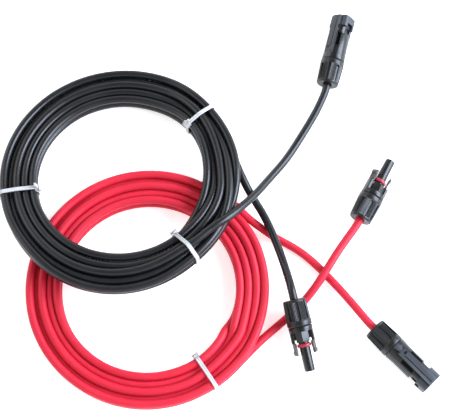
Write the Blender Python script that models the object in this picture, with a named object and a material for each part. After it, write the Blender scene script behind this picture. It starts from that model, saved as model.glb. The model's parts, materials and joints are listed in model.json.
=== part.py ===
"""A matched pair of solar panel extension leads, one black and one red.

Each lead is about 4.6 m of 6.2 mm cable, wound into a coil and tied. One end carries a wide
plug (a recessed contact pin behind a slotted front block) and the other a slim socket (a round
nose with a seal ring and two sprung latch arms). Every connector has a gland nut that screws on
to the housing and squeezes a slotted collet and a rubber seal on the cable.

Lengths in the constants are millimetres; objects are built in metres. +Z is up. The origin is
on the ground plane, at the middle of the box around the four connectors.
"""

import math

import bmesh
import bpy
import numpy as np
from mathutils import Matrix, Vector

MM = 0.001

# ---------------------------------------------------------------- driving dimensions (mm)
CABLE_R = 3.1  # jacket radius
WIRE_R = 1.5  # bundle of copper strands
GAP = 0.3  # between neighbouring solids

# Gland, the same on all four connectors. x runs from the nut's rear face towards the mating end.
NUT_L = 20.0
NUT_R_REAR = 8.6
NUT_R_FRONT = 9.3
NUT_HOLE_R = 3.5
NUT_CHAMBER_R = 7.75
FLUTES = 8
SPIGOT_X0 = 7.6  # rear end of the housing's threaded spigot
SPIGOT_R = 7.4
SEAL_CHAMBER_R = 6.2
SEAL_CHAMBER_X1 = 18.0
CONTACT_BORE_R = 3.9
COLLAR_X0 = 20.3

# Wide plug
WIDE_L = 58.6
WIDE_R = 8.65
WAIST_X0, WAIST_X1, WAIST_HALF = 43.2, 49.5, 6.9
EAR_HALF, EAR_HEIGHT, EAR_ROUND = 8.4, 6.9, 3.3
RAIL_HALF, RAIL_TOP, RAIL_X0 = 3.5, 8.95, 25.5
PIN_R, PIN_X1 = 2.0, 51.0
MOUTH_R, MOUTH_BORE_R, MOUTH_BORE_X0 = 5.0, 4.15, 35.4
PIN_HOLE_R = 2.3  # through the web behind the mouth
SLOT_X0, SLOT_Y0, SLOT_Y1, SLOT_Z = 45.0, 5.6, 7.7, 3.0  # one each side, for the socket's latch arms
TUBE_X1 = 57.8  # front end of the tube the socket's seal ring sits in
CATCH_X1 = 52.8  # the latch arms' barbs catch on the end of a notch in the back of each ear

# Slim socket
SLIM_L = 55.0
SHOULDER_R, SHOULDER_X1 = 9.0, 22.8
NECK_FLAT, NECK_X1 = 4.9, 32.0  # hexagonal, an edge on top
NOSE_R, NOSE_BORE_R = 3.9, 2.95
CHEEK_Y0, CHEEK_Y1, CHEEK_Z, CHEEK_X1 = 6.3, 8.9, 3.2, 32.0  # their front meets the plug's front
WEB_X1, WEB_Z = 29.8, 1.6  # joins each cheek to the neck
ORING_X, ORING_R = 34.4, 4.35
LATCH_X0, LATCH_X1, LATCH_Y0, LATCH_Y1, LATCH_Z, BARB = 32.35, 41.3, 6.4, 7.5, 2.6, 0.95
LATCH_ROOT = 2.6  # length of the thicker root of each arm
SOCKET_OUT_R, SOCKET_IN_R, SOCKET_X1 = 2.65, 2.05, 53.5

# The layout below is drawn in a plan frame. ORIGIN is the object's origin in that frame: the
# middle of the box around the four connectors.
ORIGIN = (100.2, 7.7)

# Coils: centre on the ground plane, outer and inner radius, height of the bundle
BLACK_COIL = dict(centre=(-80.0, 19.0), r_out=91.8, r_in=64.3, height=13.0)
RED_COIL = dict(centre=(-57.6, -65.0), r_out=91.5, r_in=65.5, height=13.0)
RED_COIL_Z = 1.6  # its tie passes below it
BLACK_COIL_Z = 0.3  # its lowest edge, which rests on the ground beyond the red coil
COIL_CLEAR = 0.4  # between the red coil's top and the black one lying on it

# Connectors: (x, y, z) of the nut's rear face on the axis, then yaw, pitch and roll in degrees, and
# how far its nut is screwed round
CONNECTORS = {
    "black_wide": dict(kind="wide", at=(80.9, 100.4, 9.9), turn=(75.6, 1.5, -38.0), nut=5.2),
    "red_wide": dict(kind="wide", at=(110.8, -96.1, 9.8), turn=(-46.1, 0.0, 0.0), nut=17.4),
    "black_slim": dict(kind="slim", at=(51.1, -76.5, 18.1), turn=(-76.7, -15.0, 8.0), nut=13.1),
    "red_slim": dict(kind="slim", at=(103.0, -11.6, 9.6), turn=(61.8, 0.0, 28.0), nut=10.0),
}
STRAIGHT = 9.0  # straight cable behind each nut, which its nut slides back over

# Free ends of the cables: points (x, y, z) from the coil towards the connector
TAILS = {
    "black_tail_upper": (
        "black_wide",
        [
            (-18.2, -34.6, 38.1), (-14.0, -30.1, 37.7), (-5.2, -23.3, 37.1), (4.5, -16.6, 35.4),
            (12.8, -7.4, 29.6), (21.2, 2.1, 23.2), (33.9, 19.9, 13.5), (47.5, 37.9, 7.0),
            (59.7, 57.8, 5.2), (71.0, 76.4, 7.4),
        ],
    ),
    "black_tail_lower": (
        "black_slim",
        [
            (15.8, 14.6, 15.0), (20.7, 5.9, 12.0), (28.3, -6.0, 11.2), (35.0, -20.6, 11.8),
            (40.9, -36.4, 11.6), (45.8, -52.6, 13.5),
        ],
    ),
    "red_tail_right": (
        "red_wide",
        [
            (22.8, -14.0, 6.8), (26.8, -16.5, 6.0), (36.0, -23.2, 4.4), (52.0, -31.6, 3.4),
            (64.8, -40.4, 3.4), (76.7, -51.8, 3.4), (94.0, -72.3, 6.0),
        ],
    ),
    "red_tail_left": (
        "red_slim",
        [
            (30.5, -101.0, 4.3), (33.6, -98.3, 3.9), (45.0, -88.6, 3.4), (56.4, -78.0, 4.0),
            (65.5, -67.9, 7.0), (76.1, -52.5, 10.3), (88.0, -33.5, 9.9),
        ],
    ),
}

# Ties: coil, angle round it in degrees, extra height above the bundle
TIES = {
    "black_tie_1": ("black", 40.0, 0.0),
    "black_tie_2": ("black", 188.0, 0.0),
    "black_tie_3": ("black", -49.5, 6.6),
    "red_tie_1": ("red", -56.0, 0.0),
}
TIE_WIDTH, TIE_THICK = 3.4, 1.1

# ---------------------------------------------------------------- helpers


def clear_scene():
    for obj in list(bpy.data.objects):
        bpy.data.objects.remove(obj, do_unlink=True)
    for mesh in list(bpy.data.meshes):
        if not mesh.users:
            bpy.data.meshes.remove(mesh)


def material(name, colour, roughness, metallic=0.0):
    mat = bpy.data.materials.new(name)
    mat.use_nodes = True
    shader = mat.node_tree.nodes["Principled BSDF"]
    shader.inputs["Base Color"].default_value = (*colour, 1.0)
    shader.inputs["Roughness"].default_value = roughness
    shader.inputs["Metallic"].default_value = metallic
    mat.diffuse_color = (*colour, 1.0)
    return mat


def add(name, mesh, mat=None, smooth=40.0):
    obj = bpy.data.objects.new(name, mesh)
    bpy.context.scene.collection.objects.link(obj)
    if mat is not None:
        mesh.materials.clear()
        mesh.materials.append(mat)
    if smooth:
        mesh.shade_smooth()
        mesh.set_sharp_from_angle(angle=math.radians(smooth))
    return obj


def mesh_from(bm, name):
    bmesh.ops.recalc_face_normals(bm, faces=bm.faces[:])
    mesh = bpy.data.meshes.new(name)
    bm.to_mesh(mesh)
    bm.free()
    return mesh


def turned(name, profile, segments=32, turn=0.0):
    """A solid of revolution about X. profile is a closed outline of (x, r) in mm."""
    bm = bmesh.new()
    start = Matrix.Rotation(turn, 4, "X")
    ring = [bm.verts.new(start @ Vector((x * MM, 0.0, r * MM))) for x, r in profile]
    edges = [bm.edges.new((a, b)) for a, b in zip(ring, ring[1:] + ring[:1])]
    bmesh.ops.spin(
        bm,
        geom=ring + edges,
        cent=(0, 0, 0),
        axis=(1, 0, 0),
        angle=2 * math.pi,
        steps=segments,
        use_merge=True,
        use_duplicate=False,
    )
    bmesh.ops.remove_doubles(bm, verts=bm.verts[:], dist=1e-7)
    on_axis = [
        f for f in bm.faces if all(abs(v.co.y) < 1e-9 and abs(v.co.z) < 1e-9 for v in f.verts)
    ]
    bmesh.ops.delete(bm, geom=on_axis, context="FACES")
    loose = [e for e in bm.edges if not e.link_faces]
    bmesh.ops.delete(bm, geom=loose, context="EDGES")
    return mesh_from(bm, name)


def block(name, x, y, z, bevel=0.0, bevel_axis=None, segments=2):
    """A box between the given (low, high) pairs in mm, with the edges along bevel_axis rounded."""
    bm = bmesh.new()
    bmesh.ops.create_cube(bm, size=1.0)
    for v in bm.verts:
        v.co = Vector(
            [(lo + hi) / 2 * MM + c * (hi - lo) * MM for c, (lo, hi) in zip(v.co, (x, y, z))]
        )
    if bevel:
        edges = [
            e
            for e in bm.edges
            if bevel_axis is None
            or abs((e.verts[0].co - e.verts[1].co).normalized()["xyz".index(bevel_axis)]) > 0.9
        ]
        bmesh.ops.bevel(
            bm, geom=edges, offset=bevel * MM, segments=segments, profile=0.5, affect="EDGES"
        )
    return mesh_from(bm, name)


def outline(name, points, thickness, plane="xy"):
    """A flat outline of (a, b) points in mm, extruded by thickness either side of its plane."""
    bm = bmesh.new()
    verts = [bm.verts.new((a * MM, b * MM, -thickness * MM)) for a, b in points]
    face = bm.faces.new(verts)
    top = bmesh.ops.extrude_face_region(bm, geom=[face])
    moved = [g for g in top["geom"] if isinstance(g, bmesh.types.BMVert)]
    bmesh.ops.translate(bm, vec=(0, 0, 2 * thickness * MM), verts=moved)
    if plane == "xz":
        bmesh.ops.rotate(
            bm, cent=(0, 0, 0), matrix=Matrix.Rotation(math.pi / 2, 3, "X"), verts=bm.verts[:]
        )
    return mesh_from(bm, name)


def combine(name, base, steps, mat):
    """base mesh with (operation, mesh) Booleans carried out in order, as one clean mesh."""
    body = add(name, base, None, 0)
    tools = []
    for i, (operation, mesh) in enumerate(steps):
        tool = add(f"{name}_tool_{i}", mesh, None, 0)
        tool.hide_render = True
        tool.display_type = "WIRE"
        tools.append(tool)
        modifier = body.modifiers.new(f"{operation.lower()}_{i}", "BOOLEAN")
        modifier.operation = operation
        modifier.solver = "EXACT"
        modifier.object = tool
    bpy.context.view_layer.update()
    graph = bpy.context.evaluated_depsgraph_get()
    mesh = bpy.data.meshes.new_from_object(body.evaluated_get(graph))
    mesh.name = name
    for obj in [body] + tools:
        old = obj.data
        bpy.data.objects.remove(obj, do_unlink=True)
        bpy.data.meshes.remove(old)
    bm = bmesh.new()
    bm.from_mesh(mesh)
    bmesh.ops.remove_doubles(bm, verts=bm.verts[:], dist=2e-6)
    bmesh.ops.dissolve_degenerate(bm, dist=2e-6, edges=bm.edges[:])
    bm.to_mesh(mesh)
    bm.free()
    mesh.materials.clear()
    mesh.materials.append(mat)
    mesh.shade_smooth()
    mesh.set_sharp_from_angle(angle=math.radians(40))
    return mesh


def spline(points, spacing):
    """Points every spacing mm along a natural cubic spline through the given points."""
    p = np.array(points, float)
    t = np.concatenate([[0.0], np.cumsum(np.linalg.norm(np.diff(p, axis=0), axis=1))])
    n, h = len(p), np.diff(t)
    a, b = np.zeros((n, n)), np.zeros((n, 3))
    a[0, 0] = a[-1, -1] = 1.0
    for i in range(1, n - 1):
        a[i, i - 1], a[i, i], a[i, i + 1] = h[i - 1], 2 * (h[i - 1] + h[i]), h[i]
        b[i] = 6 * ((p[i + 1] - p[i]) / h[i] - (p[i] - p[i - 1]) / h[i - 1])
    m = np.linalg.solve(a, b)
    count = max(2, int(round(t[-1] / spacing)) + 1)
    out = []
    for s in np.linspace(0.0, t[-1], count):
        i = min(n - 2, max(0, int(np.searchsorted(t, s, side="right")) - 1))
        u, v = (t[i + 1] - s) / h[i], (s - t[i]) / h[i]
        out.append(
            u * p[i]
            + v * p[i + 1]
            + ((u**3 - u) * m[i] + (v**3 - v) * m[i + 1]) * h[i] ** 2 / 6
        )
    return out


def located(x, y, z):
    """A point of the plan frame in the object's frame, in mm."""
    return Vector((x - ORIGIN[0], y - ORIGIN[1], z))


def placement(spec):
    yaw, pitch, roll = (math.radians(a) for a in spec["turn"])
    return (
        Matrix.Translation(located(*spec["at"]) * MM)
        @ Matrix.Rotation(yaw, 4, "Z")
        @ Matrix.Rotation(-pitch, 4, "Y")
        @ Matrix.Rotation(roll, 4, "X")
    )


# ---------------------------------------------------------------- connector pieces, in their own frame


def nut_mesh(mat):
    base = turned(
        "nut",
        [
            (0.0, NUT_HOLE_R),
            (0.0, NUT_R_REAR - 0.9),
            (0.9, NUT_R_REAR),
            (NUT_L - 0.6, NUT_R_FRONT),
            (NUT_L, NUT_R_FRONT - 0.5),
            (NUT_L, NUT_CHAMBER_R),
            (3.0, NUT_CHAMBER_R),
            (1.8, NUT_HOLE_R + 1.2),
            (1.8, NUT_HOLE_R),
        ],
        24,
    )
    steps = []
    for i in range(FLUTES):
        flute = block("flute", (1.4, 15.4), (-1.0, 1.0), (NUT_R_REAR - 0.75, 12.0), 0.9, "z", 1)
        flute.transform(Matrix.Rotation(2 * math.pi * (i + 0.5) / FLUTES, 4, "X"))
        steps.append(("DIFFERENCE", flute))
    return combine("nut", base, steps, mat)


def collet_mesh(mat):
    """The slotted clamp ring: six fingers on a ring, inside the nut behind the spigot."""
    base = turned("collet", [(2.2, 3.45), (2.2, 4.6), (4.6, 7.2), (7.2, 7.2), (7.2, 3.45)], 18)
    steps = []
    for i in range(6):
        slot = block("slot", (1.0, 5.2), (-0.5, 0.5), (2.0, 9.0))
        slot.transform(Matrix.Rotation(2 * math.pi * (i + 0.25) / 6, 4, "X"))
        steps.append(("DIFFERENCE", slot))
    return combine("collet", base, steps, mat)


def seal_mesh(mat):
    mesh = turned("seal", [(8.2, 3.45), (8.2, 5.4), (8.9, 5.9), (16.4, 5.9), (16.4, 3.45)], 16)
    mesh.materials.append(mat)
    return mesh


def wire_mesh(mat):
    mesh = turned("wire", [(17.6, 0.0), (17.6, WIRE_R), (24.0, WIRE_R), (24.0, 0.0)], 12)
    mesh.materials.append(mat)
    return mesh


def clip_mesh(mat):
    """The sprung ring that holds the contact in its bore, slit along one side."""
    base = turned("clip", [(26.6, 2.95), (26.6, 3.15), (29.0, 3.55), (29.4, 3.55), (29.4, 2.95)], 12)
    return combine(
        "clip", base, [("DIFFERENCE", block("slit", (26.0, 30.0), (-0.35, 0.35), (2.0, 5.0)))], mat
    )


def pin_mesh(mat):
    """Crimp barrel, shoulder and 4 mm contact pin with a rounded tip."""
    mesh = turned(
        "pin",
        [
            (18.4, 1.8), (18.4, 2.5), (24.6, 2.5), (24.6, 3.4), (26.2, 3.4), (26.2, 2.6),
            (31.4, 2.6), (32.0, PIN_R), (PIN_X1 - 1.4, PIN_R), (PIN_X1 - 0.5, 1.5),
            (PIN_X1, 0.0), (24.3, 0.0), (24.3, 1.8),
        ],
        16,
    )
    mesh.materials.append(mat)
    return mesh


def socket_mesh(mat):
    """Crimp barrel, shoulder and hollow contact barrel."""
    mesh = turned(
        "socket",
        [
            (18.4, 1.8), (18.4, 2.5), (24.6, 2.5), (24.6, 3.4), (26.2, 3.4), (26.2, SOCKET_OUT_R),
            (SOCKET_X1, SOCKET_OUT_R), (SOCKET_X1, SOCKET_IN_R + 0.2), (SOCKET_X1 - 0.6, SOCKET_IN_R),
            (32.0, SOCKET_IN_R), (32.0, 0.0), (24.3, 0.0), (24.3, 1.8),
        ],
        16,
    )
    mesh.materials.append(mat)
    return mesh


def oring_mesh(mat):
    profile = [
        (ORING_X + 1.15 * math.cos(a), ORING_R + 0.75 * math.sin(a))
        for a in [2 * math.pi * i / 6 for i in range(6)]
    ]
    mesh = turned("oring", profile, 18)
    mesh.materials.append(mat)
    return mesh


def wide_housing_mesh(mat):
    base = turned(
        "wide",
        [
            (SPIGOT_X0, 0.0), (SPIGOT_X0, SPIGOT_R - 0.5), (SPIGOT_X0 + 0.5, SPIGOT_R),
            (COLLAR_X0, SPIGOT_R), (COLLAR_X0, 8.9), (COLLAR_X0 + 0.4, 9.15), (28.0, WIDE_R),
            (WAIST_X0, WIDE_R), (WAIST_X0, 0.0),
        ],
        24,
    )
    waist = block("waist", (WAIST_X0 - 1.2, WAIST_X1 + 0.7), (-WAIST_HALF, WAIST_HALF), (-7.6, 7.6), 2.0, "x")
    ears = block("ears", (WAIST_X1, WIDE_L), (-EAR_HALF, EAR_HALF), (-EAR_HEIGHT, EAR_HEIGHT), EAR_ROUND, "x", 3)
    rail = block("rail", (RAIL_X0, WIDE_L - 0.4), (-RAIL_HALF, RAIL_HALF), (-RAIL_TOP, RAIL_TOP), 0.5, "x", 1)
    rear = turned(
        "rear_bore",
        [(5.0, 0.0), (5.0, SEAL_CHAMBER_R), (SEAL_CHAMBER_X1, SEAL_CHAMBER_R), (SEAL_CHAMBER_X1, CONTACT_BORE_R),
         (33.2, CONTACT_BORE_R), (33.2, PIN_HOLE_R), (36.0, PIN_HOLE_R), (36.0, 0.0)],
        16,
    )
    front = turned(
        "front_bore",
        [(MOUTH_BORE_X0, 0.0), (MOUTH_BORE_X0, MOUTH_BORE_R), (49.6, MOUTH_BORE_R), (50.4, MOUTH_R), (62.0, MOUTH_R), (62.0, 0.0)],
        16,
    )
    slot = block("slot", (TUBE_X1, 62.0), (-SLOT_Y1, SLOT_Y1), (-SLOT_Z, SLOT_Z))
    steps = [("UNION", waist), ("UNION", ears), ("UNION", rail), ("DIFFERENCE", rear), ("DIFFERENCE", front), ("DIFFERENCE", slot)]
    for side in (-1, 1):
        y = sorted((side * SLOT_Y0, side * SLOT_Y1))
        steps.append(("DIFFERENCE", block("arm_slot", (SLOT_X0, 61.0), y, (-SLOT_Z, SLOT_Z))))
        y = sorted((side * SLOT_Y0, side * 10.0))
        steps.append(("DIFFERENCE", block("catch", (48.0, CATCH_X1), y, (-SLOT_Z - 0.2, SLOT_Z + 0.2))))
        for up in (-1, 1):
            y = sorted((side * 3.95, side * 6.25))
            z = sorted((up * 4.4, up * 11.0))
            steps.append(("DIFFERENCE", block("window", (31.6, 42.4), y, z)))
    steps.append(("DIFFERENCE", block("groove", (30.5, 57.2), (-1.2, -0.6), (RAIL_TOP - 0.4, 11.0))))
    return combine("wide_housing", base, steps, mat)


def slim_housing_mesh(mat):
    base = turned(
        "slim",
        [
            (SPIGOT_X0, 0.0), (SPIGOT_X0, SPIGOT_R - 0.5), (SPIGOT_X0 + 0.5, SPIGOT_R),
            (COLLAR_X0, SPIGOT_R), (COLLAR_X0, SHOULDER_R - 0.2), (COLLAR_X0 + 0.3, SHOULDER_R),
            (SHOULDER_X1, SHOULDER_R), (SHOULDER_X1, NOSE_R), (ORING_X - 1.5, NOSE_R), (ORING_X - 1.3, 3.3), (ORING_X + 1.3, 3.3),
            (ORING_X + 1.5, NOSE_R), (SLIM_L - 0.5, NOSE_R), (SLIM_L, NOSE_R - 0.4), (SLIM_L, 0.0),
        ],
        24,
    )
    rear = turned(
        "rear_bore",
        [(5.0, 0.0), (5.0, SEAL_CHAMBER_R), (SEAL_CHAMBER_X1, SEAL_CHAMBER_R), (SEAL_CHAMBER_X1, CONTACT_BORE_R),
         (30.0, CONTACT_BORE_R), (30.0, NOSE_BORE_R), (57.0, NOSE_BORE_R), (57.0, 0.0)],
        16,
    )
    corner = NECK_FLAT / math.cos(math.pi / 6)
    neck = turned(
        "neck",
        [(SHOULDER_X1 - 1.0, 0.0), (SHOULDER_X1 - 1.0, corner), (NECK_X1 - 0.4, corner), (NECK_X1, corner - 0.5), (NECK_X1, 0.0)],
        6,
    )
    steps = [("UNION", neck)]
    for side in (-1, 1):
        y = sorted((side * CHEEK_Y0, side * CHEEK_Y1))
        steps.append(("UNION", block("cheek", (SHOULDER_X1 - 1.0, CHEEK_X1), y, (-CHEEK_Z, CHEEK_Z), 0.6, "x", 1)))
        y = sorted((side * (NECK_FLAT - 0.5), side * (CHEEK_Y0 + 0.5)))
        steps.append(("UNION", block("web", (SHOULDER_X1 - 1.0, WEB_X1), y, (-WEB_Z, WEB_Z))))
    steps.append(("DIFFERENCE", rear))
    return combine("slim_housing", base, steps, mat)


def latch_mesh(mat):
    """One latch arm with a ramped barb, about its hinge at the root: +y is outwards."""
    y0, y1 = LATCH_Y0 - (LATCH_Y0 + LATCH_Y1) / 2, LATCH_Y1 - (LATCH_Y0 + LATCH_Y1) / 2
    length = LATCH_X1 - LATCH_X0
    points = [
        (0.0, y0 - 0.3), (LATCH_ROOT - 0.6, y0 - 0.3), (LATCH_ROOT, y0), (length - 0.8, y0),
        (length, y0 + 0.5), (length, y1 + 0.2), (length - 2.6, y1 + BARB),
        (length - 3.4, y1 + BARB), (length - 3.4, y1), (LATCH_ROOT, y1),
        (LATCH_ROOT - 0.6, y1 + 0.3), (0.0, y1 + 0.3),
    ]
    mesh = outline("latch", points, LATCH_Z)
    mesh.materials.append(mat)
    return mesh


# ---------------------------------------------------------------- coils and ties


def coil_plane():
    """Where the black coil lies: (unit direction it falls in, slope, height of its base plane at its centre)."""
    b, r = np.array(BLACK_COIL["centre"]), np.array(RED_COIL["centre"])
    apart = float(np.linalg.norm(b - r))
    down = (b - r) / apart
    reach = BLACK_COIL["r_out"]
    rise = RED_COIL_Z + RED_COIL["height"] + COIL_CLEAR - BLACK_COIL_Z
    # The black ring touches the red one where its inner edge crosses the red one's outer edge.
    touch = (RED_COIL["r_out"] ** 2 - BLACK_COIL["r_in"] ** 2 - apart**2) / (2 * apart)
    slope = rise / (reach - touch)
    return down, slope, BLACK_COIL_Z + slope * reach


def coil_matrix(which):
    """From the coil's own frame (axis Z, base at z = 0) to the object's."""
    if which == "red":
        x, y = RED_COIL["centre"]
        return Matrix.Translation(located(x, y, RED_COIL_Z) * MM)
    down, slope, base = coil_plane()
    x, y = BLACK_COIL["centre"]
    axis = Vector((-down[1], down[0], 0.0))
    return Matrix.Translation(located(x, y, base) * MM) @ Matrix.Rotation(math.atan(slope), 4, axis)


def coil_mesh(spec, mat):
    """The outer shape of the tied turns: a ring with rounded corners."""
    r0, r1, h, c = spec["r_in"], spec["r_out"], spec["height"], 3.1
    k = c * (1 - math.sqrt(0.5))
    profile = [
        (r0, c), (r0 + k, k), (r0 + c, 0.0), (r1 - c, 0.0), (r1 - k, k), (r1, c),
        (r1, h - c), (r1 - k, h - k), (r1 - c, h), (r0 + c, h), (r0 + k, h - k), (r0, h - c),
    ]
    mesh = turned("coil", [(z, r) for r, z in profile], 40)
    mesh.transform(Matrix.Rotation(-math.pi / 2, 4, "Y"))
    mesh.materials.clear()
    mesh.materials.append(mat)
    return mesh


def tie_mesh(spec, extra, mat):
    """A strap round the bundle with its head and cut tail, in the plane y = 0, the coil's axis at x = 0."""
    r0, r1, h = spec["r_in"] - 2 * GAP, spec["r_out"] + GAP, spec["height"] + GAP
    low, c = -GAP, 3.6
    inner = [
        (r0 + c, low), (r1 - c, low), (r1 - 0.3 * c, low + 0.3 * c), (r1, low + c), (r1, h - c),
        (r1 - 0.3 * c, h - 0.3 * c), (r1 - c, h), (r0 + c, h), (r0 + 0.3 * c, h - 0.3 * c), (r0, h - c),
        (r0, low + c), (r0 + 0.3 * c, low + 0.3 * c),
    ]
    if extra:
        mid = (r0 + r1) / 2 + 5.0
        top = h + extra
        inner = inner[:5] + [(mid + 6.0, top - 1.0), (mid + 3.5, top), (mid - 3.5, top), (mid - 6.0, top - 1.0)] + inner[8:]
    centre = np.mean(inner, axis=0)
    outer = []
    n = len(inner)
    for i in range(n):
        a, b, d = (np.array(inner[(i + k) % n]) for k in (-1, 0, 1))
        u, v = (b - a) / np.linalg.norm(b - a), (d - b) / np.linalg.norm(d - b)
        na, nb = np.array((u[1], -u[0])), np.array((v[1], -v[0]))
        mitre = (na + nb) / (1 + float(na @ nb))
        outer.append(tuple(b + mitre * TIE_THICK))
    band = outline("tie_band", outer, TIE_WIDTH / 2, "xz")
    hole = outline("tie_hole", inner, TIE_WIDTH, "xz")
    head = block("tie_head", (r0 - 3.6, r0 - 0.35), (-2.6, 2.6), (h - c - 5.0, h - c + 0.4), 0.5, None, 1)
    tail = block("tie_tail", (r0 - 9.0, r0 - 2.0), (-1.2, 1.2), (h - c - 2.9, h - c - 1.8))
    return combine("tie", band, [("DIFFERENCE", hole), ("UNION", head), ("UNION", tail)], mat)


# ---------------------------------------------------------------- the model


def main():
    clear_scene()
    black = material("black_plastic", (0.028, 0.029, 0.032), 0.45)
    nut_black = material("nut_plastic", (0.03, 0.031, 0.034), 0.5)
    jacket_black = material("black_jacket", (0.018, 0.02, 0.025), 0.35)
    jacket_red = material("red_jacket", (0.80, 0.03, 0.05), 0.4)
    tinned = material("tinned_copper", (0.78, 0.77, 0.74), 0.25, 1.0)
    spring = material("spring_steel", (0.62, 0.62, 0.63), 0.3, 1.0)
    copper = material("bare_copper", (0.85, 0.45, 0.28), 0.35, 1.0)
    silicone = material("seal_silicone", (0.70, 0.06, 0.06), 0.5)
    rubber = material("grommet_rubber", (0.04, 0.04, 0.04), 0.7)
    collet_mat = material("collet_plastic", (0.05, 0.05, 0.05), 0.5)
    nylon = material("nylon", (0.86, 0.87, 0.88), 0.4)

    common = {
        "nut": nut_mesh(nut_black),
        "collet": collet_mesh(collet_mat),
        "seal": seal_mesh(rubber),
        "wire": wire_mesh(copper),
        "clip": clip_mesh(spring),
    }
    kinds = {
        "wide": {"housing": wide_housing_mesh(black), "pin": pin_mesh(tinned)},
        "slim": {
            "housing": slim_housing_mesh(black),
            "socket": socket_mesh(tinned),
            "oring": oring_mesh(silicone),
        },
    }
    arm = latch_mesh(black)

    for name, spec in CONNECTORS.items():
        frame = bpy.data.objects.new(f"{name}_frame", None)
        bpy.context.scene.collection.objects.link(frame)
        frame.matrix_world = placement(spec)
        for piece, mesh in {**common, **kinds[spec["kind"]]}.items():
            obj = add(f"{name}_{piece}", mesh)
            obj.parent = frame
            if piece == "nut":
                obj.rotation_euler = (math.radians(spec["nut"]), 0.0, 0.0)
        if spec["kind"] == "slim":
            for side, label in ((1, "left"), (-1, "right")):
                obj = add(f"{name}_latch_{label}", arm)
                obj.parent = frame
                obj.location = Vector((LATCH_X0, side * (LATCH_Y0 + LATCH_Y1) / 2, 0.0)) * MM
                if side < 0:
                    obj.rotation_euler = (math.pi, 0.0, 0.0)

    coils = {"black": (BLACK_COIL, jacket_black), "red": (RED_COIL, jacket_red)}
    for which, (spec, mat) in coils.items():
        coil = add(f"{which}_coil", coil_mesh(spec, mat))
        coil.matrix_world = coil_matrix(which)

    for name, (which, angle, extra) in TIES.items():
        tie = add(name, tie_mesh(coils[which][0], extra, nylon))
        tie.matrix_world = coil_matrix(which) @ Matrix.Rotation(math.radians(angle), 4, "Z")

    for name, (connector, points) in TAILS.items():
        place = placement(CONNECTORS[connector])
        ends = [tuple(place @ Vector((x * MM, 0, 0)) / MM) for x in (-STRAIGHT, 0.0, 8.0, 17.2)]
        route = [tuple(located(*p)) for p in points]
        line = [p for p in spline(route + ends[:2], 7.5) if (Vector(p) - Vector(ends[1])).length > STRAIGHT + 2.0]
        line += [Vector(e) for e in ends]
        curve = bpy.data.curves.new(name, "CURVE")
        curve.dimensions = "3D"
        curve.bevel_depth = CABLE_R * MM
        curve.bevel_resolution = 2
        curve.use_fill_caps = True
        path = curve.splines.new("POLY")
        path.points.add(len(line) - 1)
        for point, co in zip(path.points, line):
            point.co = (co[0] * MM, co[1] * MM, co[2] * MM, 1.0)
        obj = bpy.data.objects.new(name, curve)
        bpy.context.scene.collection.objects.link(obj)
        curve.materials.append(jacket_black if name.startswith("black") else jacket_red)
    bpy.context.view_layer.update()


main()
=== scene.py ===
import json
import math

import bmesh
import bpy
import numpy as np
from mathutils import Matrix, Vector
from mathutils.kdtree import KDTree

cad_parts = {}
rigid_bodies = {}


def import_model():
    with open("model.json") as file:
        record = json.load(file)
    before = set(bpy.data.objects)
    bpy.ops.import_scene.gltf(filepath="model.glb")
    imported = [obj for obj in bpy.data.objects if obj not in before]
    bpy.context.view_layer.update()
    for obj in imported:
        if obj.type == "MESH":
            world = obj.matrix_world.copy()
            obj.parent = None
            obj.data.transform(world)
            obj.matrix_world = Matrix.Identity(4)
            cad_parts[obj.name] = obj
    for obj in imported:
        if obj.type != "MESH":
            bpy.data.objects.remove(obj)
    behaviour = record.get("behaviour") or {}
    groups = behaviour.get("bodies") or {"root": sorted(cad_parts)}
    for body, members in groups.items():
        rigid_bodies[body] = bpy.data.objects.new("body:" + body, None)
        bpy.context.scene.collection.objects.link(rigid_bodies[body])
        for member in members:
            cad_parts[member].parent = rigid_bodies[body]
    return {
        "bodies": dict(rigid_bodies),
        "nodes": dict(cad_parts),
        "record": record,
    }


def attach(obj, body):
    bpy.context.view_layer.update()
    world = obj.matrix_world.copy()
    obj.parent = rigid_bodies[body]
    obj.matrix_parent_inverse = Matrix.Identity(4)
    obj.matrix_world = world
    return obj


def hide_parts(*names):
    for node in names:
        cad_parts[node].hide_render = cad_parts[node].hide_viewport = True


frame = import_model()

BODIES, NODES, RECORD = frame["bodies"], frame["nodes"], frame["record"]
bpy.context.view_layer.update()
MM = 0.001

# ---------------------------------------------------------------- layout, as in the CAD (mm)

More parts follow.
